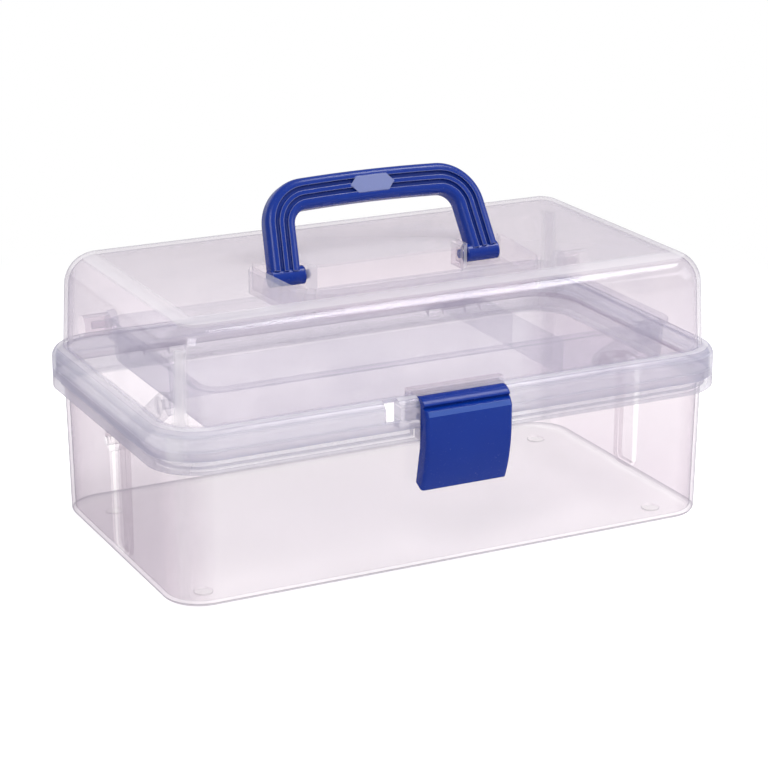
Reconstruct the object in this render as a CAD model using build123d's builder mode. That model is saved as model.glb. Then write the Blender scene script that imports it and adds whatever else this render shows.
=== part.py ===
from build123d import *
import os
from math import cos, radians, sin, sqrt, tan

# Clear hinged storage box with a fold-down carry handle, a front latch and a tray
# that swings up and back, level, as the lid opens.
# Millimetres. The origin is under the middle of the box, on the surface that it
# stands on. X runs along the box, the latch faces -Y and Z is up.

# Rim band, where the lid meets the base
RIM_LENGTH = 330.0
RIM_DEPTH = 189.0
RIM_CORNER = 28.0
RIM_STEP = 6.3
RIM_BAND = 7.0
RIM_EDGE = 0.8
RIM_WALL = 4.2
PARTING_HEIGHT = 81.5
PARTING_GAP = 0.2
LIP_HEIGHT = 3.0
LIP_CLEARANCE = 0.45

# Walls of the base and the lid
WALL = 2.0
WALL_CORNER = 22.0
BASE_DRAFT = 0.9
BASE_BOTTOM_ROUND = 3.5
FLOOR = 2.6
FLANGE_HEIGHT = 16.0
SHOULDER_ROUND = 6.0
CROWN_HEIGHT = 51.5
CROWN_ROUND = 18.0
CROWN_DRAFT = 3.0

# Feet under the base
FOOT_RADIUS = 5.0
FOOT_HEIGHT = 1.0
FOOT_INSET = 24.0

# Stiffening flute in the middle of each end wall
FLUTE_WIDTH = 16.0
FLUTE_DEPTH = 2.4
FLUTE_OFFSET = 13.0
FLUTE_HEIGHT = 63.5
FLUTE_DROP = 5.0
FLUTE_ROUND = 3.0

# Lid hinge
HINGE_INSET = 70.0
KNUCKLE_RADIUS = 3.0
KNUCKLE_LENGTH = 10.0
LID_KNUCKLE_LENGTH = 14.0
KNUCKLE_GAP = 0.4
GUSSET_HEIGHT = 6.5
HINGE_PIN_RADIUS = 1.5
HINGE_HEAD_RADIUS = 2.4
HINGE_HEAD = 1.2

# Clearances
RUN_CLEARANCE = 0.08
SEAT_CLEARANCE = 0.02
SIDE_GAP = 0.35

# Carry handle
HANDLE_WIDTH = 17.0
HANDLE_THICKNESS = 11.0
HANDLE_HEIGHT = 52.2
HANDLE_ARCH = 1.6
HANDLE_FOOT_HALF = 67.9
HANDLE_SHOULDER_HALF = 64.0
HANDLE_BEND = 17.5
HANDLE_EDGE_ROUND = 3.4
HANDLE_LEAN = 27.0
HANDLE_PIVOT_Y = -2.5
HANDLE_PIVOT_DROP = 6.3
HANDLE_LEG_END = 2.0
GROOVE_WIDTH = 2.4
GROOVE_DEPTH = 2.0
GROOVE_RIB = 2.5
PLATE_LENGTH = 26.0
PLATE_HEIGHT = 9.0
PLATE_POINT = 4.0
PLATE_PROUD = 0.2
BARREL_RADIUS = 5.0
BARREL_LENGTH = 19.2
STUB_RADIUS = 2.5
STUB_LENGTH = 3.5

# Handle well in the lid top
WELL_CLEARANCE = 1.5
WELL_FLOOR_GAP = 1.1
WELL_SIDE_GAP = 7.5
WELL_FRONT_CORNER = 20.0
WELL_REAR_CORNER = 4.0
WELL_BLOCK_CHAMFER = 4.5
WELL_BLOCK_FRONT = 8.0

# Front latch
LATCH_WIDTH = 50.0
LATCH_LENGTH = 42.0
LATCH_FACE = 2.4
LATCH_SIDE = 2.4
LATCH_EDGE = 1.8
LATCH_CURL = 6.2
LATCH_STRAIGHT = 13.5
LATCH_BEVEL = 2.6
LATCH_GROOVE = 1.4
LATCH_HEEL = 3.0
LATCH_RELIEF = 4.2
LATCH_PIVOT_INSET = 3.5
LATCH_PIVOT_DROP = 8.5
LATCH_ROLL_RADIUS = 8.0
LATCH_BARREL_RADIUS = 4.2
CATCH_HALF = 18.0
CATCH_HEIGHT = 2.0
CATCH_DEPTH = 1.5
CATCH_DROP = 3.0
LATCH_BAR_RADIUS = 2.0
LATCH_MOUTH = 3.2
EAR_WIDTH = 11.0
EAR_GAP = 0.6
EAR_SLOT = 8.5

# Tray
TRAY_END_INSET = 26.5
TRAY_FRONT_INSET = 15.0
TRAY_REAR_INSET = 29.5
TRAY_RIM_RISE = 31.5
TRAY_HEIGHT = 24.0
TRAY_WALL = 1.6
TRAY_DRAFT = 3.0
TRAY_CORNER = 14.0
TRAY_LIP = 2.5
TRAY_LIP_THICKNESS = 2.0
TRAY_BOTTOM_ROUND = 5.0
TRAY_EAR_THICKNESS = 3.5
TRAY_EAR_RADIUS = 7.0
TRAY_EAR_DROP = 9.0
DIVIDER_THICKNESS = 1.5
DIVIDER_CLEARANCE = 0.3
DIVIDER_DROP = 3.0
DIVIDER_CROSS_SHARE = 0.5
DIVIDER_LONG_SHARE = 0.2

# Lifting arms: base pivot, reach from pivot to tray pin, and section
ARM_INSET = 22.0
ARM_PIVOT_REAR = 86.0
ARM_PIVOT_DROP = 18.6
ARM_REACH_Y = -50.0
ARM_REACH_HEIGHT = 33.0
ARM_THICKNESS = 3.2
ARM_EYE_RADIUS = 6.5
ARM_BORDER = 2.2
ARM_POCKET = 1.0
BOSS_RADIUS = 6.0
PIN_RADIUS = 2.5
PIN_HEAD_RADIUS = 4.5
PIN_HEAD = 1.4
TRAY_PIN_RADIUS = 2.0
TRAY_PIN_DEPTH = 9.0
PIN_CHAMFER = 0.4

# Worked-out places
rim_front = -RIM_DEPTH / 2
rim_rear = RIM_DEPTH / 2
rim_bottom = PARTING_HEIGHT - RIM_BAND
shoulder = PARTING_HEIGHT + FLANGE_HEIGHT
lid_top = shoulder + CROWN_HEIGHT
lid_bottom = PARTING_HEIGHT + PARTING_GAP
wall_length = RIM_LENGTH - 2 * RIM_STEP
wall_depth = RIM_DEPTH - 2 * RIM_STEP
wall_front = -wall_depth / 2
base_draft_run = (rim_bottom - FOOT_HEIGHT) * tan(radians(BASE_DRAFT))
hinge_y = rim_rear + SIDE_GAP + KNUCKLE_RADIUS
hinge_spacing = RIM_LENGTH - 2 * HINGE_INSET
hinge_half = LID_KNUCKLE_LENGTH / 2 + KNUCKLE_GAP + KNUCKLE_LENGTH
front_reach = -(hinge_y + KNUCKLE_RADIUS)

lean = radians(HANDLE_LEAN)
handle_pivot_height = lid_top - HANDLE_PIVOT_DROP
handle_normal = Vector(0, -cos(lean), sin(lean))
handle_plane = Plane(
    origin=(0, HANDLE_PIVOT_Y, handle_pivot_height), x_dir=(1, 0, 0), z_dir=handle_normal
)
barrel_inner = HANDLE_FOOT_HALF - BARREL_LENGTH
well_floor = handle_pivot_height - HANDLE_THICKNESS / 2 - WELL_FLOOR_GAP
well_front = HANDLE_PIVOT_Y - HANDLE_HEIGHT - WELL_CLEARANCE
well_rear = (
    HANDLE_PIVOT_Y
    + HANDLE_PIVOT_DROP * tan(lean)
    + HANDLE_THICKNESS / 2 / cos(lean)
    + SIDE_GAP
)
well_rear_half = HANDLE_FOOT_HALF + WELL_SIDE_GAP
well_block_half = barrel_inner - SIDE_GAP
well_block_front = HANDLE_PIVOT_Y - WELL_BLOCK_FRONT

latch_pivot_y = rim_front + LATCH_PIVOT_INSET
latch_pivot_height = shoulder - LATCH_PIVOT_DROP
latch_back = wall_front - SIDE_GAP
latch_bottom = latch_pivot_height - LATCH_LENGTH
notch_half = LATCH_WIDTH / 2 + EAR_GAP
notch_back = latch_pivot_y + LATCH_ROLL_RADIUS + SIDE_GAP
ear_outer = notch_half + EAR_WIDTH

arm_inner = RIM_LENGTH / 2 - ARM_INSET
arm_outer = arm_inner + ARM_THICKNESS
arm_pivot_y = rim_rear - ARM_PIVOT_REAR
arm_pivot_height = PARTING_HEIGHT - ARM_PIVOT_DROP
arm_tray_y = arm_pivot_y + ARM_REACH_Y
arm_tray_height = arm_pivot_height + ARM_REACH_HEIGHT
flute_centre = arm_pivot_y - FLUTE_OFFSET
flute_top = rim_bottom - FLUTE_DROP

tray_length = RIM_LENGTH - 2 * TRAY_END_INSET
tray_depth = RIM_DEPTH - TRAY_FRONT_INSET - TRAY_REAR_INSET
tray_centre = (TRAY_FRONT_INSET - TRAY_REAR_INSET) / 2
tray_rim = PARTING_HEIGHT + TRAY_RIM_RISE
tray_pin_y = hinge_y + ARM_REACH_Y
tray_pin_height = PARTING_HEIGHT + ARM_REACH_HEIGHT
tray_ear_outer = tray_length / 2 - TRAY_LIP_THICKNESS + TRAY_EAR_THICKNESS
tray_boss_outer = arm_inner - SIDE_GAP
tray_floor = tray_rim - TRAY_HEIGHT + TRAY_WALL
tray_slope = tan(radians(TRAY_DRAFT))
divider_top = tray_rim - DIVIDER_DROP
divider_cross_x = tray_length / 2 * DIVIDER_CROSS_SHARE
divider_long_y = tray_centre - tray_depth / 2 * DIVIDER_LONG_SHARE

sides = {"left": -1, "right": 1}


def facing_down(height, y=0.0):
    """Plane at a height whose normal points down, with X kept along the box."""
    return Plane(origin=(0, y, height), x_dir=(1, 0, 0), z_dir=(0, 0, -1))


def across(x):
    """Plane across the box at x: local x runs along Y, local y along Z."""
    return Plane(origin=(x, 0, 0), x_dir=(0, 1, 0), z_dir=(1, 0, 0))


def hinge_bars():
    """X ranges of the base knuckles and of the lid knuckles, for both hinges."""
    base_bars = []
    lid_bars = []
    for middle in (-hinge_spacing / 2, hinge_spacing / 2):
        lid_bars.append((middle - LID_KNUCKLE_LENGTH / 2, LID_KNUCKLE_LENGTH))
        base_bars.append((middle - hinge_half, KNUCKLE_LENGTH))
        base_bars.append((middle + hinge_half - KNUCKLE_LENGTH, KNUCKLE_LENGTH))
    return base_bars, lid_bars


base_bars, lid_bars = hinge_bars()

# Base: drafted walls, beveled rim band with an upstanding lip, feet and flutes
with BuildPart() as base_tub:
    with BuildSketch(facing_down(rim_bottom)):
        RectangleRounded(wall_length, wall_depth, WALL_CORNER)
    extrude(amount=rim_bottom - FOOT_HEIGHT, taper=BASE_DRAFT)
    fillet(base_tub.faces().sort_by(Axis.Z)[0].edges(), BASE_BOTTOM_ROUND)
    with BuildSketch(Plane.XY.offset(rim_bottom)):
        RectangleRounded(RIM_LENGTH, RIM_DEPTH, RIM_CORNER)
    extrude(amount=RIM_BAND)
    rim_under = base_tub.faces().filter_by(Axis.Z).filter_by_position(
        Axis.Z, rim_bottom - RIM_EDGE, rim_bottom + RIM_EDGE
    )
    chamfer(rim_under.sort_by(SortBy.AREA)[-1].outer_wire().edges(), RIM_EDGE)
    # Hollow of the tub, then of the rim band above its ledge
    with BuildSketch(facing_down(rim_bottom + WALL)):
        RectangleRounded(wall_length - 2 * WALL, wall_depth - 2 * WALL, WALL_CORNER - WALL)
    extrude(
        amount=rim_bottom + WALL - FOOT_HEIGHT - FLOOR, taper=BASE_DRAFT, mode=Mode.SUBTRACT
    )
    floor_face = base_tub.faces().filter_by_position(
        Axis.Z, FOOT_HEIGHT + FLOOR - WALL / 2, FOOT_HEIGHT + FLOOR + WALL / 2
    )
    fillet(floor_face.sort_by(SortBy.AREA)[-1].edges(), BASE_BOTTOM_ROUND - WALL)
    with BuildSketch(Plane.XY.offset(rim_bottom + WALL)):
        RectangleRounded(
            RIM_LENGTH - 2 * RIM_WALL, RIM_DEPTH - 2 * RIM_WALL, RIM_CORNER - RIM_WALL
        )
    extrude(amount=RIM_BAND, mode=Mode.SUBTRACT)
    # Notch in the rim for the latch, walled behind and at both ends, and the catch below it
    with BuildSketch(Plane.XY.offset(rim_bottom)):
        with Locations((0, wall_front + WALL)):
            Rectangle(2 * (notch_half + WALL), RIM_STEP + WALL, align=(Align.CENTER, Align.MAX))
    extrude(amount=RIM_BAND)
    with BuildSketch(Plane.XY.offset(rim_bottom)):
        with Locations((0, wall_front)):
            Rectangle(2 * notch_half, RIM_DEPTH, align=(Align.CENTER, Align.MAX))
    extrude(amount=RIM_BAND, mode=Mode.SUBTRACT)
    with BuildSketch(Plane.XY.offset(rim_bottom - CATCH_DROP - CATCH_HEIGHT)):
        with Locations((0, wall_front + WALL / 2)):
            Rectangle(2 * CATCH_HALF, CATCH_DEPTH + WALL / 2, align=(Align.CENTER, Align.MAX))
    extrude(amount=CATCH_HEIGHT)
    lip_inset = WALL + LIP_CLEARANCE
    with BuildSketch(Plane.XY.offset(PARTING_HEIGHT)):
        RectangleRounded(
            RIM_LENGTH - 2 * lip_inset, RIM_DEPTH - 2 * lip_inset, RIM_CORNER - lip_inset
        )
        RectangleRounded(
            RIM_LENGTH - 2 * RIM_WALL,
            RIM_DEPTH - 2 * RIM_WALL,
            RIM_CORNER - RIM_WALL,
            mode=Mode.SUBTRACT,
        )
        with Locations((0, rim_front)):
            Rectangle(2 * (ear_outer + WALL), 4 * RIM_WALL, mode=Mode.SUBTRACT)
    extrude(amount=LIP_HEIGHT)
    # Feet
    with BuildSketch(Plane.XY):
        with GridLocations(
            wall_length - 2 * FOOT_INSET, wall_depth - 2 * FOOT_INSET, 2, 2
        ):
            Circle(FOOT_RADIUS)
    extrude(amount=FOOT_HEIGHT)
    # Flutes and arm bosses on both end walls
    flute_middle = flute_top - FLUTE_HEIGHT / 2
    flute_bed = wall_length / 2 - base_draft_run - FLUTE_DEPTH
    for side in sides.values():
        outward = (side, 0, 0)
        with BuildSketch(across(side * (flute_bed - WALL))):
            with Locations((flute_centre, flute_middle)):
                RectangleRounded(
                    FLUTE_WIDTH + 2 * WALL, FLUTE_HEIGHT + 2 * WALL, FLUTE_ROUND + WALL
                )
        extrude(amount=FLUTE_DEPTH + WALL / 2, dir=outward)
        with BuildSketch(across(side * (arm_outer + SIDE_GAP))):
            with Locations((arm_pivot_y, arm_pivot_height)):
                Circle(BOSS_RADIUS)
        extrude(amount=flute_bed - arm_outer + WALL / 2, dir=outward)
        with BuildSketch(across(side * flute_bed)):
            with Locations((flute_centre, flute_middle)):
                RectangleRounded(FLUTE_WIDTH, FLUTE_HEIGHT, FLUTE_ROUND)
        extrude(amount=RIM_LENGTH, dir=outward, mode=Mode.SUBTRACT)
        with BuildSketch(across(side * arm_inner)):
            with Locations((arm_pivot_y, arm_pivot_height)):
                Circle(PIN_RADIUS + SEAT_CLEARANCE)
        extrude(amount=RIM_LENGTH, dir=outward, mode=Mode.SUBTRACT)
    # Hinge knuckles, each carried by a gusset under it
    knuckle_slope = KNUCKLE_RADIUS * sin(radians(45))
    for start, length in base_bars:
        with BuildSketch(across(start)):
            with Locations((hinge_y, PARTING_HEIGHT)):
                Circle(KNUCKLE_RADIUS)
            with BuildLine():
                Polyline(
                    (rim_rear - WALL, PARTING_HEIGHT),
                    (hinge_y, PARTING_HEIGHT),
                    (hinge_y + knuckle_slope, PARTING_HEIGHT - knuckle_slope),
                    (rim_rear - WALL, PARTING_HEIGHT - GUSSET_HEIGHT),
                    close=True,
                )
            make_face()
        extrude(amount=length)
        with BuildSketch(across(start)):
            with Locations((hinge_y, PARTING_HEIGHT)):
                Circle(HINGE_PIN_RADIUS + SEAT_CLEARANCE)
        extrude(amount=length, mode=Mode.SUBTRACT)

# Hollow of the lid's skirt and of its crown, each rounded inside its wall. The ears and
# the walls of the latch pocket are left standing in them.
pocket_outer = notch_half + WALL
with BuildPart() as skirt_hollow:
    with BuildSketch(Plane.XY.offset(lid_bottom)):
        RectangleRounded(RIM_LENGTH - 2 * WALL, RIM_DEPTH - 2 * WALL, RIM_CORNER - WALL)
    extrude(amount=FLANGE_HEIGHT - PARTING_GAP - WALL)
    fillet(skirt_hollow.faces().sort_by(Axis.Z)[-1].edges(), SHOULDER_ROUND - WALL)
    with BuildSketch(Plane.XY.offset(lid_bottom)):
        with Locations((0, wall_front + WALL)):
            Rectangle(2 * ear_outer, RIM_DEPTH, align=(Align.CENTER, Align.MAX))
        with Locations((0, notch_back + WALL)):
            Rectangle(2 * pocket_outer, RIM_DEPTH, align=(Align.CENTER, Align.MAX))
    extrude(amount=FLANGE_HEIGHT, mode=Mode.SUBTRACT)

with BuildPart() as crown_hollow:
    with BuildSketch(Plane.XY.offset(shoulder - 2 * WALL)):
        RectangleRounded(wall_length - 2 * WALL, wall_depth - 2 * WALL, WALL_CORNER - WALL)
    extrude(amount=CROWN_HEIGHT + WALL, taper=CROWN_DRAFT)
    fillet(crown_hollow.faces().sort_by(Axis.Z)[-1].edges(), CROWN_ROUND - WALL)
    with BuildSketch(Plane.XY.offset(lid_bottom)):
        with Locations((0, notch_back + WALL)):
            Rectangle(2 * pocket_outer, RIM_DEPTH, align=(Align.CENTER, Align.MAX))
    extrude(amount=FLANGE_HEIGHT - PARTING_GAP + WALL, mode=Mode.SUBTRACT)

# Outline of the handle well: a tapering tray shape round a block that carries the handle
handle_taper = (HANDLE_FOOT_HALF - HANDLE_SHOULDER_HALF) / HANDLE_HEIGHT
well_front_half = well_rear_half - (well_rear - well_front) * handle_taper
with BuildSketch() as well_outline:
    with BuildLine():
        Polyline(
            (-well_rear_half, well_rear),
            (-well_front_half, well_front),
            (well_front_half, well_front),
            (well_rear_half, well_rear),
            close=True,
        )
    make_face()
    fillet(well_outline.vertices().group_by(Axis.Y)[0], WELL_FRONT_CORNER)
    fillet(well_outline.vertices().group_by(Axis.Y)[-1], WELL_REAR_CORNER)
    with BuildLine():
        Polyline(
            (-well_block_half, well_rear + WALL),
            (-well_block_half, well_block_front + WELL_BLOCK_CHAMFER),
            (-well_block_half + WELL_BLOCK_CHAMFER, well_block_front),
            (well_block_half - WELL_BLOCK_CHAMFER, well_block_front),
            (well_block_half, well_block_front + WELL_BLOCK_CHAMFER),
            (well_block_half, well_rear + WALL),
            close=True,
        )
    make_face(mode=Mode.SUBTRACT)

# Lid: skirt, shoulder and crown, the well in its top, latch ears in front
with BuildPart() as lid_shell:
    with BuildSketch(Plane.XY.offset(lid_bottom)):
        RectangleRounded(RIM_LENGTH, RIM_DEPTH, RIM_CORNER)
    extrude(amount=shoulder - lid_bottom)
    fillet(lid_shell.faces().sort_by(Axis.Z)[-1].edges(), SHOULDER_ROUND)
    with BuildSketch(Plane.XY.offset(shoulder)):
        RectangleRounded(wall_length, wall_depth, WALL_CORNER)
    extrude(amount=lid_top - shoulder, taper=CROWN_DRAFT)
    fillet(lid_shell.faces().sort_by(Axis.Z)[-1].edges(), CROWN_ROUND)
    add(skirt_hollow.part, mode=Mode.SUBTRACT)
    add(crown_hollow.part, mode=Mode.SUBTRACT)
    # Handle well with its own walls and floor
    with BuildSketch(Plane.XY.offset(well_floor - WALL)):
        add(well_outline.sketch)
        offset(amount=WALL, kind=Kind.INTERSECTION)
    extrude(amount=lid_top - WALL / 2 - well_floor + WALL)
    with BuildSketch(Plane.XY.offset(well_floor)):
        add(well_outline.sketch)
    extrude(amount=lid_top, mode=Mode.SUBTRACT)
    with BuildSketch(across(-barrel_inner)):
        with Locations((HANDLE_PIVOT_Y, handle_pivot_height)):
            Circle(STUB_RADIUS + RUN_CLEARANCE)
    extrude(amount=2 * barrel_inner, mode=Mode.SUBTRACT)
    # Pocket for the latch, the window beside its left ear and the bar that it snaps on
    with BuildSketch(Plane.XY.offset(PARTING_HEIGHT)):
        with Locations((0, notch_back)):
            Rectangle(2 * notch_half, RIM_DEPTH, align=(Align.CENTER, Align.MAX))
    extrude(amount=FLANGE_HEIGHT, mode=Mode.SUBTRACT)
    slot_floor = latch_pivot_height - LATCH_BAR_RADIUS - SIDE_GAP
    with BuildSketch(Plane.XY.offset(slot_floor)):
        with Locations((-ear_outer, wall_front)):
            Rectangle(EAR_SLOT, RIM_DEPTH, align=(Align.MAX, Align.MAX))
    extrude(amount=shoulder - slot_floor, mode=Mode.SUBTRACT)
    bar_half = notch_half + WALL
    with BuildSketch(across(-bar_half)):
        with Locations((latch_pivot_y, latch_pivot_height)):
            Circle(LATCH_BAR_RADIUS)
    extrude(amount=2 * bar_half)
    # Bosses on the end walls that carry the tray's rear pins
    lid_wall_half = wall_length / 2 - (tray_pin_height - shoulder) * tan(radians(CROWN_DRAFT))
    boss_start = tray_ear_outer + SIDE_GAP
    for side in sides.values():
        outward = (side, 0, 0)
        with BuildSketch(across(side * boss_start)):
            with Locations((tray_pin_y, tray_pin_height)):
                Circle(BOSS_RADIUS)
        extrude(amount=lid_wall_half - WALL / 2 - boss_start, dir=outward)
        with BuildSketch(across(side * boss_start)):
            with Locations((tray_pin_y, tray_pin_height)):
                Circle(TRAY_PIN_RADIUS + RUN_CLEARANCE)
        extrude(amount=TRAY_PIN_DEPTH + SIDE_GAP, dir=outward, mode=Mode.SUBTRACT)
    # Hinge knuckles, each carried by a gusset above it
    for start, length in lid_bars:
        with BuildSketch(across(start)):
            with Locations((hinge_y, PARTING_HEIGHT)):
                Circle(KNUCKLE_RADIUS)
            with BuildLine():
                Polyline(
                    (rim_rear - WALL, lid_bottom),
                    (hinge_y, lid_bottom),
                    (hinge_y + knuckle_slope, PARTING_HEIGHT + knuckle_slope),
                    (rim_rear - WALL, PARTING_HEIGHT + GUSSET_HEIGHT),
                    close=True,
                )
            make_face()
        extrude(amount=length)
        with BuildSketch(across(start)):
            with Locations((hinge_y, PARTING_HEIGHT)):
                Circle(HINGE_PIN_RADIUS + RUN_CLEARANCE)
        extrude(amount=length, mode=Mode.SUBTRACT)

# Handle: a grooved bar swept round a U, with a flat plate in the middle of the grip
leg_foot = HANDLE_FOOT_HALF - HANDLE_WIDTH / 2
leg_shoulder = HANDLE_SHOULDER_HALF - HANDLE_WIDTH / 2
grip_middle = HANDLE_HEIGHT - HANDLE_WIDTH / 2
grip_end = grip_middle - HANDLE_ARCH
with BuildPart() as handle:
    with BuildLine(handle_plane) as grip_line:
        Line((-leg_foot, HANDLE_LEG_END), (-leg_shoulder, grip_end))
        ThreePointArc((-leg_shoulder, grip_end), (0, grip_middle), (leg_shoulder, grip_end))
        Line((leg_shoulder, grip_end), (leg_foot, HANDLE_LEG_END))
        fillet(grip_line.vertices().sort_by(Axis.Z)[-2:], HANDLE_BEND)
    leg_start = grip_line.line @ 0
    leg_rise = grip_line.line % 0
    with BuildSketch(
        Plane(origin=leg_start, x_dir=handle_normal.cross(leg_rise), z_dir=leg_rise)
    ) as grip_section:
        RectangleRounded(HANDLE_WIDTH, HANDLE_THICKNESS, HANDLE_EDGE_ROUND)
        groove_offset = (GROOVE_RIB + GROOVE_WIDTH) / 2
        with Locations(
            (-groove_offset, HANDLE_THICKNESS / 2), (groove_offset, HANDLE_THICKNESS / 2)
        ):
            Rectangle(GROOVE_WIDTH, 2 * GROOVE_DEPTH, mode=Mode.SUBTRACT)
    sweep(path=grip_line.line)
    with BuildSketch(handle_plane.offset(HANDLE_THICKNESS / 2 - GROOVE_DEPTH)):
        plate_half = PLATE_LENGTH / 2
        with BuildLine():
            Polyline(
                (-plate_half, grip_middle),
                (-plate_half + PLATE_POINT, grip_middle + PLATE_HEIGHT / 2),
                (plate_half - PLATE_POINT, grip_middle + PLATE_HEIGHT / 2),
                (plate_half, grip_middle),
                (plate_half - PLATE_POINT, grip_middle - PLATE_HEIGHT / 2),
                (-plate_half + PLATE_POINT, grip_middle - PLATE_HEIGHT / 2),
                close=True,
            )
        make_face()
    extrude(amount=GROOVE_DEPTH + PLATE_PROUD)
    for side in sides.values():
        outward = (side, 0, 0)
        with BuildSketch(across(side * barrel_inner)):
            with Locations((HANDLE_PIVOT_Y, handle_pivot_height)):
                Circle(BARREL_RADIUS)
        extrude(amount=HANDLE_FOOT_HALF - barrel_inner, dir=outward)
        with BuildSketch(across(side * (barrel_inner - STUB_LENGTH))):
            with Locations((HANDLE_PIVOT_Y, handle_pivot_height)):
                Circle(STUB_RADIUS)
        extrude(amount=STUB_LENGTH, dir=outward)

# Latch: a rolled top round the pivot, a face that curls in below, side walls cut back
# where they pass the rim, and a nib
roll_back = sqrt(LATCH_ROLL_RADIUS**2 - (latch_back - latch_pivot_y) ** 2)
roll_front = LATCH_ROLL_RADIUS * sin(radians(54))
roll_front_rise = LATCH_ROLL_RADIUS * cos(radians(54))
face_top = latch_pivot_height + roll_front_rise - LATCH_BEVEL
curl_start = face_top - LATCH_STRAIGHT
barrel_bottom = latch_pivot_height - LATCH_BARREL_RADIUS
with BuildPart() as latch:
    latch_half = LATCH_WIDTH / 2
    with BuildSketch(across(-latch_half)):
        with BuildLine():
            ThreePointArc(
                (latch_back, latch_pivot_height + roll_back),
                (latch_pivot_y, latch_pivot_height + LATCH_ROLL_RADIUS),
                (latch_pivot_y - roll_front, latch_pivot_height + roll_front_rise),
            )
            Polyline(
                (latch_pivot_y - roll_front, latch_pivot_height + roll_front_rise),
                (latch_pivot_y - roll_front + LATCH_GROOVE, face_top + LATCH_BEVEL / 2),
                (front_reach + LATCH_GROOVE, face_top),
                (front_reach, face_top - LATCH_BEVEL),
                (front_reach, curl_start),
            )
            TangentArc(
                (front_reach, curl_start),
                (front_reach + LATCH_CURL, latch_bottom),
                tangent=(0, -1),
            )
            Polyline(
                (front_reach + LATCH_CURL, latch_bottom),
                (latch_back, latch_bottom + LATCH_HEEL),
                (latch_back - LATCH_RELIEF, rim_bottom - LATCH_RELIEF),
                (latch_back - LATCH_RELIEF, barrel_bottom),
                (latch_back, barrel_bottom),
                (latch_back, latch_pivot_height + roll_back),
            )
        make_face()
    extrude(amount=LATCH_WIDTH)
    face_edges = latch.edges().filter_by_position(Axis.Z, latch_bottom, face_top)
    face_edges = face_edges.filter_by_position(Axis.Y, front_reach - WALL, rim_front)
    outer_edges = face_edges.group_by(Axis.X)[0] + face_edges.group_by(Axis.X)[-1]
    long_edges = outer_edges.filter_by(lambda edge: edge.length > LATCH_BEVEL)
    fillet(long_edges, LATCH_EDGE)
    # Hollow behind the face, open at the back and at the bottom, under the pivot's barrel
    hollow_top = barrel_bottom - LATCH_FACE
    with BuildSketch(across(-latch_half + LATCH_SIDE)):
        with BuildLine():
            Polyline(
                (rim_front, hollow_top),
                (front_reach + LATCH_FACE, hollow_top),
                (front_reach + LATCH_FACE, curl_start),
            )
            TangentArc(
                (front_reach + LATCH_FACE, curl_start),
                (front_reach + LATCH_CURL + LATCH_FACE, latch_bottom),
                tangent=(0, -1),
            )
            Polyline(
                (front_reach + LATCH_CURL + LATCH_FACE, latch_bottom),
                (wall_front, latch_bottom),
                (wall_front, hollow_top),
                (rim_front, hollow_top),
            )
        make_face()
    extrude(amount=LATCH_WIDTH - 2 * LATCH_SIDE, mode=Mode.SUBTRACT)
    nib_top = rim_bottom - CATCH_DROP - CATCH_HEIGHT - SIDE_GAP
    nib_tip = wall_front - CATCH_DEPTH - SIDE_GAP
    with BuildSketch(Plane.XY.offset(nib_top - CATCH_HEIGHT)):
        with Locations((0, nib_tip)):
            Rectangle(
                2 * CATCH_HALF,
                nib_tip - front_reach - LATCH_FACE,
                align=(Align.CENTER, Align.MAX),
            )
    extrude(amount=CATCH_HEIGHT)
    # Bore for the lid's bar, with a mouth at the back through which it snaps on
    with BuildSketch(across(-latch_half)):
        with Locations((latch_pivot_y, latch_pivot_height)):
            Circle(LATCH_BAR_RADIUS + RUN_CLEARANCE)
            Rectangle(LATCH_ROLL_RADIUS, LATCH_MOUTH, align=(Align.MIN, Align.CENTER))
    extrude(amount=LATCH_WIDTH, mode=Mode.SUBTRACT)

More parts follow.
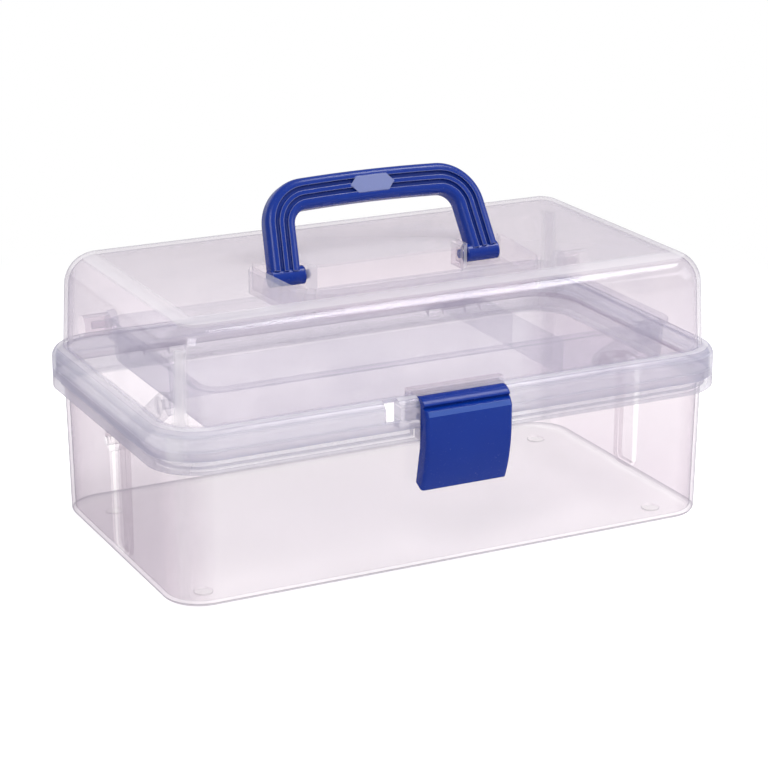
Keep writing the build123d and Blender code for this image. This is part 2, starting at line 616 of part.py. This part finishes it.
# Tray: shallow drafted pan with a flat lip, ears for the lid and bosses for the arms
with BuildPart() as tray:
    pan_length = tray_length - 2 * TRAY_LIP
    pan_depth = tray_depth - 2 * TRAY_LIP
    with BuildSketch(facing_down(tray_rim, tray_centre)):
        RectangleRounded(pan_length, pan_depth, TRAY_CORNER - TRAY_LIP)
    extrude(amount=TRAY_HEIGHT, taper=TRAY_DRAFT)
    fillet(tray.faces().sort_by(Axis.Z)[0].edges(), TRAY_BOTTOM_ROUND)
    with BuildSketch(facing_down(tray_rim, tray_centre)):
        RectangleRounded(tray_length, tray_depth, TRAY_CORNER)
    extrude(amount=TRAY_LIP_THICKNESS)
    for side in sides.values():
        outward = (side, 0, 0)
        with BuildSketch(across(side * (tray_ear_outer - TRAY_EAR_THICKNESS))):
            with Locations((tray_pin_y, tray_pin_height)):
                Circle(TRAY_EAR_RADIUS)
            with Locations((tray_pin_y, tray_pin_height - TRAY_EAR_DROP / 2)):
                Rectangle(2 * TRAY_EAR_RADIUS, TRAY_EAR_DROP)
        extrude(amount=TRAY_EAR_THICKNESS, dir=outward)
        with BuildSketch(across(side * (pan_length / 2 - TRAY_EAR_DROP))):
            with Locations((arm_tray_y, arm_tray_height)):
                Circle(BOSS_RADIUS)
        extrude(amount=tray_boss_outer - pan_length / 2 + TRAY_EAR_DROP, dir=outward)
    with BuildSketch(facing_down(tray_rim, tray_centre)):
        RectangleRounded(
            pan_length - 2 * TRAY_WALL,
            pan_depth - 2 * TRAY_WALL,
            TRAY_CORNER - TRAY_LIP - TRAY_WALL,
        )
    extrude(amount=TRAY_HEIGHT - TRAY_WALL, taper=TRAY_DRAFT, mode=Mode.SUBTRACT)
    for side in sides.values():
        inward = (-side, 0, 0)
        with BuildSketch(across(side * tray_ear_outer)):
            with Locations((tray_pin_y, tray_pin_height)):
                Circle(TRAY_PIN_RADIUS + SEAT_CLEARANCE)
        extrude(amount=TRAY_EAR_THICKNESS, dir=inward, mode=Mode.SUBTRACT)
        with BuildSketch(across(side * tray_boss_outer)):
            with Locations((arm_tray_y, arm_tray_height)):
                Circle(PIN_RADIUS + SEAT_CLEARANCE)
        extrude(amount=BOSS_RADIUS, dir=inward, mode=Mode.SUBTRACT)


def tray_inside(half, height):
    """Half of the tray's inside, at a height, from its half at the rim."""
    return half - TRAY_WALL - (tray_rim - height) * tray_slope - DIVIDER_CLEARANCE


# Dividers standing in the tray: one across it, one along its longer compartment
pan_half_depth = tray_depth / 2 - TRAY_LIP
pan_half_length = tray_length / 2 - TRAY_LIP
with BuildPart() as tray_divider_cross:
    with BuildSketch(across(divider_cross_x - DIVIDER_THICKNESS / 2)):
        low = tray_inside(pan_half_depth, tray_floor)
        high = tray_inside(pan_half_depth, divider_top)
        with BuildLine():
            Polyline(
                (tray_centre - low, tray_floor),
                (tray_centre + low, tray_floor),
                (tray_centre + high, divider_top),
                (tray_centre - high, divider_top),
                close=True,
            )
        make_face()
    extrude(amount=DIVIDER_THICKNESS)

with BuildPart() as tray_divider_long:
    with BuildSketch(Plane.XZ.offset(-divider_long_y - DIVIDER_THICKNESS / 2)):
        long_end = divider_cross_x - DIVIDER_THICKNESS / 2 - DIVIDER_CLEARANCE
        with BuildLine():
            Polyline(
                (-tray_inside(pan_half_length, tray_floor), tray_floor),
                (long_end, tray_floor),
                (long_end, divider_top),
                (-tray_inside(pan_half_length, divider_top), divider_top),
                close=True,
            )
        make_face()
    extrude(amount=DIVIDER_THICKNESS)


def lifting_arm(side):
    """Flat arm with an eye at each end and a shallow pocket in its outer face."""
    outward = (side, 0, 0)
    eyes = ((arm_pivot_y, arm_pivot_height), (arm_tray_y, arm_tray_height))
    with BuildPart() as arm:
        with BuildSketch(across(side * arm_inner)) as arm_outline:
            with Locations(*eyes):
                Circle(ARM_EYE_RADIUS)
            make_hull()
        extrude(amount=ARM_THICKNESS, dir=outward)
        with BuildSketch(across(side * arm_outer)):
            with Locations(*eyes):
                Circle(ARM_EYE_RADIUS - ARM_BORDER)
            make_hull()
            with Locations(*eyes):
                Circle(ARM_EYE_RADIUS, mode=Mode.SUBTRACT)
        extrude(amount=ARM_POCKET, dir=(-side, 0, 0), mode=Mode.SUBTRACT)
        with BuildSketch(across(side * arm_inner)):
            with Locations(*eyes):
                Circle(PIN_RADIUS + RUN_CLEARANCE)
        extrude(amount=ARM_THICKNESS, dir=outward, mode=Mode.SUBTRACT)
    return arm.part


def pivot_pin(place, side, start, end, radius, head_start=None):
    """Pin along X between two distances from the middle, with a head where it has one."""
    outward = (side, 0, 0)
    with BuildPart() as pin:
        with BuildSketch(across(side * start)):
            with Locations(place):
                Circle(radius)
        extrude(amount=end - start, dir=outward)
        chamfer(pin.edges().filter_by(GeomType.CIRCLE), PIN_CHAMFER)
        if head_start is not None:
            with BuildSketch(across(side * head_start)):
                with Locations(place):
                    Circle(PIN_HEAD_RADIUS)
            extrude(amount=PIN_HEAD, dir=outward)
    return pin.part


def hinge_pin(side):
    """Lid hinge pin with a small head at its outer end."""
    outward = (side, 0, 0)
    middle = hinge_spacing / 2
    with BuildPart() as pin:
        with BuildSketch(across(side * (middle - hinge_half))):
            with Locations((hinge_y, PARTING_HEIGHT)):
                Circle(HINGE_PIN_RADIUS)
        extrude(amount=2 * hinge_half, dir=outward)
        with BuildSketch(across(side * (middle + hinge_half))):
            with Locations((hinge_y, PARTING_HEIGHT)):
                Circle(HINGE_HEAD_RADIUS)
        extrude(amount=HINGE_HEAD, dir=outward)
    return pin.part


pieces = {
    "base_tub": base_tub.part,
    "lid_shell": lid_shell.part,
    "handle": handle.part,
    "latch": latch.part,
    "tray": tray.part,
    "tray_divider_cross": tray_divider_cross.part,
    "tray_divider_long": tray_divider_long.part,
}
base_wall_half = wall_length / 2 - (rim_bottom - arm_pivot_height) * tan(radians(BASE_DRAFT))
for name, side in sides.items():
    pieces["arm_" + name] = lifting_arm(side)
    pieces["arm_base_pin_" + name] = pivot_pin(
        (arm_pivot_y, arm_pivot_height),
        side,
        arm_inner - SIDE_GAP - PIN_HEAD,
        base_wall_half,
        PIN_RADIUS,
        arm_inner - SIDE_GAP - PIN_HEAD,
    )
    pieces["arm_tray_pin_" + name] = pivot_pin(
        (arm_tray_y, arm_tray_height),
        side,
        tray_boss_outer - BOSS_RADIUS + SIDE_GAP,
        arm_outer + SIDE_GAP + PIN_HEAD,
        PIN_RADIUS,
        arm_outer + SIDE_GAP,
    )
    pieces["tray_lid_pin_" + name] = pivot_pin(
        (tray_pin_y, tray_pin_height),
        side,
        tray_ear_outer - TRAY_EAR_THICKNESS,
        boss_start + TRAY_PIN_DEPTH,
        TRAY_PIN_RADIUS,
    )
    pieces["hinge_pin_" + name] = hinge_pin(side)

os.makedirs("parts", exist_ok=True)
for name, piece in pieces.items():
    piece.label = name
    export_step(piece, f"parts/{name}.step")
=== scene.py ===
import bpy
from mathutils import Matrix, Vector

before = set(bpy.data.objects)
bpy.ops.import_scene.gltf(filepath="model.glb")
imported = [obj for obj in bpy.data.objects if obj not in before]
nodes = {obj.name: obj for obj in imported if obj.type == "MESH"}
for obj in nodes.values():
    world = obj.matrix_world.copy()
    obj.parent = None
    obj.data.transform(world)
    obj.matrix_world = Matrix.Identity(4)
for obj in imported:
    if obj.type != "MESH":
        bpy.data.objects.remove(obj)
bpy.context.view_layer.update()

scene = bpy.context.scene

# Lengths of the box and its materials are named in millimetres, as in the CAD. Blender takes
# metres, and the studio around the box is named in metres.
MM = 0.001

# Heights on the base and the lid. Bands of heavier plastic are given by their low end, high end,
# soft edge and how much haze they add.
FOOT_HEIGHT = 1.0
# Up to this height the base's rounded bottom edge is painted dark as shade
FLOOR_EDGE = 3.2
FLOOR_EDGE_SOFT = 0.3
RIM_BANDS = ((74.5, 81.5, 1.0, 0.25),)
FLANGE_BANDS = ((81.5, 96.5, 2.0, 0.27), (86.2, 86.9, 0.3, 0.12), (93.7, 94.4, 0.3, 0.12))

# The handle and the latch's bevel face forward and about 27 degrees up. The handle's ribs end so
# far from the origin in that direction and its plate just beyond. The bevel lies between two
# heights.
# With these the handle's plate, its rib edges and the latch's bevel get painted highlights.
FORWARD_UP = (0.0, -0.891, 0.454)
RIB_FRONT = 72.51
PLATE_FRONT = 72.62
PLATE_ROOM = 1.0
PLATE_SOFT = 0.05
CREST_BELOW = 0.6
CREST_ABOVE = 0.1
CREST_SOFT = 0.1
EDGE_HIGHLIGHT_SHARE = 0.8
BEVEL_LOW = 88.5
BEVEL_HIGH = 91.1
BEVEL_SOFT = 0.1

# Limits for parts of normals and for products of two normals: low, high and soft edge
LYING_FOLD = (0.89, 0.985, 0.03)
UPRIGHT_TURN = (0.0, 0.74, 0.14)
UPRIGHT_WALL = (0.0, 0.2, 0.2)
SHARP_EDGE = (-1.0, 0.96, 0.03)
BEVEL_FACE = (0.98, 1.1, 0.05)

# Clear polypropylene: sizes of its flow clouds and of the waves in its skin, the powers by which
# tint and shine rise towards edge-on, and the shares of light reflected
CLOUD_SIZE = 45.0
CLOUD_DETAIL = 3.0
CLOUD_LOW = 0.3
CLOUD_HIGH = 0.7
HAZE_LEAST = 0.7
HAZE_MOST = 1.3
HAZE_THROUGH = 0.5
WAVE_SIZE = 18.0
WAVE_DETAIL = 1.0
WAVE_DEPTH = 0.4
WAVE_STRENGTH = 0.12
TINT_POWER = 8.0
SHINE_POWER = 5.0
SHINE_FACE_ON = 0.03
SHINE_RISE = 0.30
SHINE_ROUGHNESS = 0.09
SHINE_COLOUR = "F4F4FA"
# Pale colour painted along rounded corners as a highlight
FOLD_HIGHLIGHT_COLOUR = "F4F2F6"

# Blue polypropylene: sizes of its colour drift, mould texture and softened edges
DRIFT_SIZE = 30.0
DRIFT_DETAIL = 2.0
GRAIN_SIZE = 1.2
GRAIN_DETAIL = 3.0
GRAIN_DEPTH = 0.1
GRAIN_STRENGTH = 0.05
SMOOTHEST = 0.18
ROUGHEST = 0.32
PLASTIC_IOR = 1.49
EDGE_ROUND = 0.8
EDGE_SAMPLES = 6
BLUES = ("042B88", "073292")

# Studio
WHITE = "FFFFFF"
FLOOR_COLOUR = "F4F3F4"
FLOOR_REACH = 6.0
FLOOR_NEAR = 0.25
FLOOR_FAR = 0.6
FLOOR_GLOW = 0.47
PLAIN_LIGHT = 0.5
FULL_WHITE = 1.0

# Camera, fitted to the photograph's edges
CAMERA_PLACE = (-0.57307, -1.15191, 0.49420)
CAMERA_TARGET = (0.00068, 0.0, 0.07363)
FOCAL_PIXELS = 2469.16
FRAME_PIXELS = 768
SENSOR = 36.0

# Many clear walls stand one behind another here, so a ray has to be able to pass more of them
# than usual
CLEAR_WALLS = 48
scene.cycles.transparent_max_bounces = CLEAR_WALLS
scene.view_settings.view_transform = "Standard"


def linear(hex_colour):
    """Linear colour with alpha 1 from an sRGB hex value."""
    channels = []
    for place in (0, 2, 4):
        value = int(hex_colour[place : place + 2], 16) / 255
        if value <= 0.04045:
            channels.append(value / 12.92)
        else:
            channels.append(((value + 0.055) / 1.055) ** 2.4)
    return (*channels, 1.0)


def add_node(tree, kind, inputs=None, **settings):
    """Adds a node with its settings, and sets or links its inputs by name or number."""
    made = tree.nodes.new(kind)
    for name, value in settings.items():
        setattr(made, name, value)
    for socket, value in (inputs or {}).items():
        if isinstance(value, bpy.types.NodeSocket):
            tree.links.new(value, made.inputs[socket])
        else:
            made.inputs[socket].default_value = value
    return made


def new_material(name):
    """Empty node material and its tree."""
    material = bpy.data.materials.new(name)
    material.use_nodes = True
    material.node_tree.nodes.clear()
    return material, material.node_tree


def calculate(tree, operation, *values):
    """Result of one Math node on numbers or sockets."""
    inputs = dict(enumerate(values))
    return add_node(tree, "ShaderNodeMath", inputs, operation=operation).outputs[0]


def parts_of(tree, vector):
    """X, Y and Z outputs of a vector."""
    return add_node(tree, "ShaderNodeSeparateXYZ", {0: vector}).outputs


def product(tree, first, second):
    """Dot product of two vectors."""
    inputs = {0: first, 1: second}
    return add_node(tree, "ShaderNodeVectorMath", inputs, operation="DOT_PRODUCT").outputs["Value"]


def noise(tree, place, size, detail):
    """Noise between 0 and 1 with patches of about a size in mm."""
    inputs = {"Vector": place, "Scale": 1 / (size * MM), "Detail": detail}
    return add_node(tree, "ShaderNodeTexNoise", inputs).outputs["Fac"]


def ramp(tree, value, start, end):
    """Smooth rise from 0 at a start to 1 at an end, which may lie below the start."""
    inputs = {"Value": value, "From Min": start, "From Max": end}
    return add_node(
        tree, "ShaderNodeMapRange", inputs, interpolation_type="SMOOTHSTEP"
    ).outputs[0]


def band(tree, value, low, high, soft, unit=1.0):
    """1 where a value lies between two limits, fading to 0 over a soft edge outside them."""
    rise = ramp(tree, value, (low - soft) * unit, low * unit)
    fall = ramp(tree, value, (high + soft) * unit, high * unit)
    return calculate(tree, "MULTIPLY", rise, fall)


def mix_colours(tree, share, first, second):
    """Colour that goes from a first to a second by a share."""
    inputs = {"Fac": share, "Color1": first, "Color2": second}
    return add_node(tree, "ShaderNodeMixRGB", inputs).outputs[0]


def mix_shaders(tree, share, first, second):
    """Shader that goes from a first to a second by a share."""
    return add_node(tree, "ShaderNodeMixShader", {0: share, 1: first, 2: second}).outputs[0]


def shader(tree, kind, **inputs):
    """Output of one shader node with its inputs."""
    return add_node(tree, kind, inputs).outputs[0]


def on_folds(tree, normal):
    """1 along rounded corners, where pale highlights are painted: in the middle of upright ones,
    and on lying ones where they run out into the flat above or below."""
    along, across, upward = [
        calculate(tree, "ABSOLUTE", part) for part in parts_of(tree, normal)
    ]
    lying = band(tree, upward, *LYING_FOLD)
    sideways = calculate(tree, "MAXIMUM", along, across)
    turned = band(tree, sideways, *UPRIGHT_TURN)
    wall = band(tree, upward, *UPRIGHT_WALL)
    upright = calculate(tree, "MULTIPLY", turned, wall)
    return calculate(tree, "MAXIMUM", lying, upright)


def clear_polypropylene(
    name,
    tint,
    edge_tint_and_shade,
    haze_tint,
    haze,
    bands=(),
    ends=0.0,
    end_tint=None,
    edge=0.0,
    folds=0.0,
):
    """Clear moulded polypropylene: see-through with a faint pink-grey tint that deepens where
    the sight line runs along a wall, slow clouds of milky haze that thicken in the end walls
    and where bands of heavier plastic run round, painted shade darkening the rounded edge up to
    a height in mm, painted highlights as pale streaks on rounded corners, and a skin of
    reflection that closes towards edge-on."""
    material, tree = new_material(name)
    coords = add_node(tree, "ShaderNodeTexCoord").outputs
    place = coords["Object"]
    cover = add_node(
        tree,
        "ShaderNodeMapRange",
        {
            "Value": noise(tree, place, CLOUD_SIZE, CLOUD_DETAIL),
            "From Min": CLOUD_LOW,
            "From Max": CLOUD_HIGH,
            "To Min": HAZE_LEAST * haze,
            "To Max": HAZE_MOST * haze,
        },
    ).outputs[0]
    height = parts_of(tree, place)["Z"]
    for low, high, soft, extra in bands:
        inside = band(tree, height, low, high, soft, MM)
        cover = calculate(tree, "MULTIPLY_ADD", inside, extra, cover)
    # The end walls are milkier and darker than the front and the back
    lean = parts_of(tree, coords["Normal"])
    endways = calculate(tree, "ABSOLUTE", lean["X"])
    cover = calculate(tree, "MULTIPLY_ADD", endways, ends, cover)
    # Slight unevenness of the moulded skin
    skin = add_node(
        tree,
        "ShaderNodeBump",
        {
            "Height": noise(tree, place, WAVE_SIZE, WAVE_DETAIL),
            "Strength": WAVE_STRENGTH,
            "Distance": WAVE_DEPTH * MM,
        },
    ).outputs[0]
    turn = add_node(tree, "ShaderNodeLayerWeight", {"Normal": skin}).outputs["Facing"]
    # Tint, deepening only close to edge-on
    deep = calculate(tree, "POWER", turn, TINT_POWER)
    if edge:
        # Painted shade: the rounded bottom edge, up to a height, is tinted dark, standing in for
        # light that runs away along the floor; its flat faces are not darkened
        start = FOOT_HEIGHT + FLOOR_EDGE_SOFT
        low = band(tree, height, start, edge, FLOOR_EDGE_SOFT, MM)
        level = calculate(tree, "ABSOLUTE", lean["Z"])
        round_part = calculate(tree, "SUBTRACT", 1.0, level)
        deep = calculate(tree, "MULTIPLY_ADD", low, round_part, deep)
    body = mix_colours(tree, endways, linear(tint), linear(end_tint or tint))
    colour = mix_colours(tree, deep, body, linear(edge_tint_and_shade))
    through = shader(tree, "ShaderNodeBsdfTransparent", Color=colour)
    # Share reflected: a few per cent face-on, rising to a third edge-on, from either side
    shine = shader(
        tree,
        "ShaderNodeBsdfGlossy",
        Color=linear(SHINE_COLOUR),
        Roughness=SHINE_ROUGHNESS,
        Normal=skin,
    )
    rise = calculate(tree, "POWER", turn, SHINE_POWER)
    skim = calculate(tree, "MULTIPLY_ADD", rise, SHINE_RISE, SHINE_FACE_ON)
    clear = mix_shaders(tree, skim, through, shine)
    # Haze throws light back and lets as much through
    back = shader(tree, "ShaderNodeBsdfDiffuse", Color=linear(haze_tint))
    onward = shader(tree, "ShaderNodeBsdfTranslucent", Color=linear(haze_tint))
    milk = mix_shaders(tree, HAZE_THROUGH, back, onward)
    surface = mix_shaders(tree, cover, clear, milk)
    if folds:
        # Painted highlight: rounded corners are painted as pale streaks, standing in for the
        # lamps' reflections along them
        streak = calculate(tree, "MULTIPLY", on_folds(tree, coords["Normal"]), folds)
        pale = shader(tree, "ShaderNodeBsdfDiffuse", Color=linear(FOLD_HIGHLIGHT_COLOUR))
        surface = mix_shaders(tree, streak, surface, pale)
    add_node(tree, "ShaderNodeOutputMaterial", {"Surface": surface})
    return material


def softened_normal(tree):
    """Normal with the edges slightly rounded."""
    radius = {"Radius": EDGE_ROUND * MM}
    return add_node(tree, "ShaderNodeBevel", radius, samples=EDGE_SAMPLES).outputs[0]


def on_plate(tree, coords):
    """1 where highlights are painted: on the handle's middle plate, which stands a little proud of
    the ribs beside it, and nearly as much along the upper edges of the ribs."""
    out = product(tree, coords["Object"], FORWARD_UP)
    plate = band(tree, out, PLATE_FRONT, PLATE_FRONT + PLATE_ROOM, PLATE_SOFT, MM)
    true_normal = add_node(tree, "ShaderNodeNewGeometry").outputs["True Normal"]
    agree = product(tree, softened_normal(tree), true_normal)
    edge = band(tree, agree, *SHARP_EDGE)
    low = RIB_FRONT - CREST_BELOW
    high = RIB_FRONT + CREST_ABOVE
    crest = band(tree, out, low, high, CREST_SOFT, MM)
    rib_edge = calculate(tree, "MULTIPLY", edge, crest)
    # Painted highlight along the ribs' upper edges, where rounded edges would catch a lamp
    edge_highlight = calculate(tree, "MULTIPLY", rib_edge, EDGE_HIGHLIGHT_SHARE)
    return calculate(tree, "MAXIMUM", plate, edge_highlight)


def on_bevel(tree, coords):
    """1 on the bevel that runs below the latch's roll, where a highlight is painted."""
    height = parts_of(tree, coords["Object"])["Z"]
    inside = band(tree, height, BEVEL_LOW, BEVEL_HIGH, BEVEL_SOFT, MM)
    turned = product(tree, coords["Normal"], FORWARD_UP)
    flat = band(tree, turned, *BEVEL_FACE)
    return calculate(tree, "MULTIPLY", inside, flat)


def blue_polypropylene(name, highlight_colour, where, shine):
    """Royal-blue moulded polypropylene: opaque and waxy, with a soft shine broken by the fine
    texture of the mould, a slightly uneven colour, softened edges that catch the light, and a
    painted highlight: the part that where marks is painted in a paler blue."""
    material, tree = new_material(name)
    coords = add_node(tree, "ShaderNodeTexCoord").outputs
    place = coords["Object"]
    drift = noise(tree, place, DRIFT_SIZE, DRIFT_DETAIL)
    shade = mix_colours(tree, drift, linear(BLUES[0]), linear(BLUES[1]))
    # Painted highlight: the part that where marks is painted in the paler highlight colour
    colour = mix_colours(tree, where(tree, coords), shade, linear(highlight_colour))
    # Mould texture, drawn larger than it is so that it shows
    grain = noise(tree, place, GRAIN_SIZE, GRAIN_DETAIL)
    rough = add_node(
        tree, "ShaderNodeMapRange", {"Value": grain, "To Min": SMOOTHEST, "To Max": ROUGHEST}
    )
    relief = add_node(
        tree,
        "ShaderNodeBump",
        {
            "Height": grain,
            "Strength": GRAIN_STRENGTH,
            "Distance": GRAIN_DEPTH * MM,
            "Normal": softened_normal(tree),
        },
    )
    plastic = add_node(
        tree,
        "ShaderNodeBsdfPrincipled",
        {
            "Base Color": colour,
            "Roughness": rough.outputs[0],
            "Normal": relief.outputs[0],
            "IOR": PLASTIC_IOR,
            "Specular IOR Level": shine,
        },
    )
    add_node(tree, "ShaderNodeOutputMaterial", {"Surface": plastic.outputs[0]})
    return material


def dress(names, material):
    """Gives CAD nodes one material."""
    for name in names:
        mesh = nodes[name].data
        mesh.materials.clear()
        mesh.materials.append(material)


clear_base = clear_polypropylene(
    "clear moulded polypropylene, base",
    tint="FEFDFD",
    edge_tint_and_shade="7E7684",
    haze_tint="D3D4E1",
    haze=0.014,
    bands=RIM_BANDS,
    ends=0.10,
    end_tint="F6F2F4",
    # Painted shade: the rounded bottom edge up to this height is tinted dark
    edge=FLOOR_EDGE,
    folds=0.10,
)
clear_lid = clear_polypropylene(
    "clear moulded polypropylene, lid",
    tint="FEFBFC",
    edge_tint_and_shade="A8A0AC",
    haze_tint="CBCEDE",
    haze=0.085,
    bands=FLANGE_BANDS,
    ends=0.06,
    folds=0.30,
)
clear_tray = clear_polypropylene(
    "clear moulded polypropylene, tray",
    tint="FCFCFD",
    edge_tint_and_shade="B8B4C4",
    haze_tint="C8C8D8",
    haze=0.07,
)
clear_arm = clear_polypropylene(
    "clear moulded polypropylene, arms",
    tint="FDFDFD",
    edge_tint_and_shade="C4C0CC",
    haze_tint="CDCEDB",
    haze=0.05,
)
# The handle's plate and rib edges and the latch's bevel are painted in a paler blue as highlights
blue_handle = blue_polypropylene(
    "royal-blue moulded polypropylene, handle", highlight_colour="7B85B6", where=on_plate, shine=0.36
)
blue_latch = blue_polypropylene(
    "royal-blue moulded polypropylene, latch", highlight_colour="3F5AA6", where=on_bevel, shine=0.22
)

dress(["base_tub"], clear_base)
dress(["lid_shell"], clear_lid)
dress(["tray", "tray_divider_cross", "tray_divider_long"], clear_tray)
dress(["handle"], blue_handle)
dress(["latch"], blue_latch)
for side in ("left", "right"):
    for piece in ("arm_", "arm_base_pin_", "arm_tray_pin_", "tray_lid_pin_", "hinge_pin_"):
        dress([piece + side], clear_arm)

# Floor: pale, white to the eye, and it keeps the box's soft shadow
floor_mesh = bpy.data.meshes.new("floor")
floor_mesh.from_pydata(
    [
        (-FLOOR_REACH, -FLOOR_REACH, 0),
        (FLOOR_REACH, -FLOOR_REACH, 0),
        (FLOOR_REACH, FLOOR_REACH, 0),
        (-FLOOR_REACH, FLOOR_REACH, 0),
    ],
    [],
    [(0, 1, 2, 3)],
)
floor = bpy.data.objects.new("floor", floor_mesh)
scene.collection.objects.link(floor)
# Near the box the floor shows its light and shadow, farther out it is plain white to the eye
floor_paint, tree = new_material("white studio floor")
seen = add_node(tree, "ShaderNodeLightPath").outputs["Is Camera Ray"]
ground = add_node(tree, "ShaderNodeTexCoord").outputs["Object"]
away = add_node(tree, "ShaderNodeVectorMath", {0: ground}, operation="LENGTH").outputs["Value"]
far = ramp(tree, away, FLOOR_NEAR, FLOOR_FAR)
lit = shader(tree, "ShaderNodeBsdfDiffuse", Color=linear(FLOOR_COLOUR))
glow = shader(tree, "ShaderNodeEmission", Color=linear(WHITE), Strength=FLOOR_GLOW)
white = shader(tree, "ShaderNodeEmission", Color=linear(WHITE), Strength=FULL_WHITE)
near = add_node(tree, "ShaderNodeAddShader", {0: lit, 1: glow}).outputs[0]
looked_at = mix_shaders(tree, far, near, white)
shown = mix_shaders(tree, seen, lit, looked_at)
add_node(tree, "ShaderNodeOutputMaterial", {"Surface": shown})
floor_mesh.materials.append(floor_paint)

# White surroundings: full white to the eye, a plain level of light for everything else
world = bpy.data.worlds.new("white studio")
scene.world = world
world.use_nodes = True
tree = world.node_tree
tree.nodes.clear()
seen = add_node(tree, "ShaderNodeLightPath").outputs["Is Camera Ray"]
plain = shader(tree, "ShaderNodeBackground", Color=linear(WHITE), Strength=PLAIN_LIGHT)
white = shader(tree, "ShaderNodeBackground", Color=linear(WHITE), Strength=FULL_WHITE)
sky = mix_shaders(tree, seen, plain, white)
add_node(tree, "ShaderNodeOutputWorld", {"Surface": sky})


def aim(thing, place, target):
    """Puts a lamp or camera at a place, looking at a target, and adds it to the scene."""
    thing.location = place
    sight = Vector(target) - Vector(place)
    thing.rotation_euler = sight.to_track_quat("-Z", "Y").to_euler()
    scene.collection.objects.link(thing)


# Square soft boxes aimed at the box's middle: name, place, width in metres and power in watts
MIDDLE = (0.0, 0.0, 0.08)
SOFT_BOXES = (
    ("key lamp", (-0.9, -1.2, 1.5), 0.8, 12.0),
    ("fill lamp", (1.3, -0.8, 0.9), 0.8, 6.0),
    ("top lamp", (0.75, -0.35, 1.55), 0.5, 9.0),
    ("rear lamp", (-0.55, 1.4, 0.9), 1.4, 6.0),
)
for name, place, width, power in SOFT_BOXES:
    lamp = bpy.data.lights.new(name, "AREA")
    lamp.shape = "SQUARE"
    lamp.size = width
    lamp.energy = power
    aim(bpy.data.objects.new(name, lamp), place, MIDDLE)

camera_data = bpy.data.cameras.new("camera")
camera_data.sensor_width = SENSOR
camera_data.sensor_height = SENSOR
camera_data.lens = FOCAL_PIXELS / FRAME_PIXELS * SENSOR
camera = bpy.data.objects.new("camera", camera_data)
aim(camera, CAMERA_PLACE, CAMERA_TARGET)
scene.camera = camera
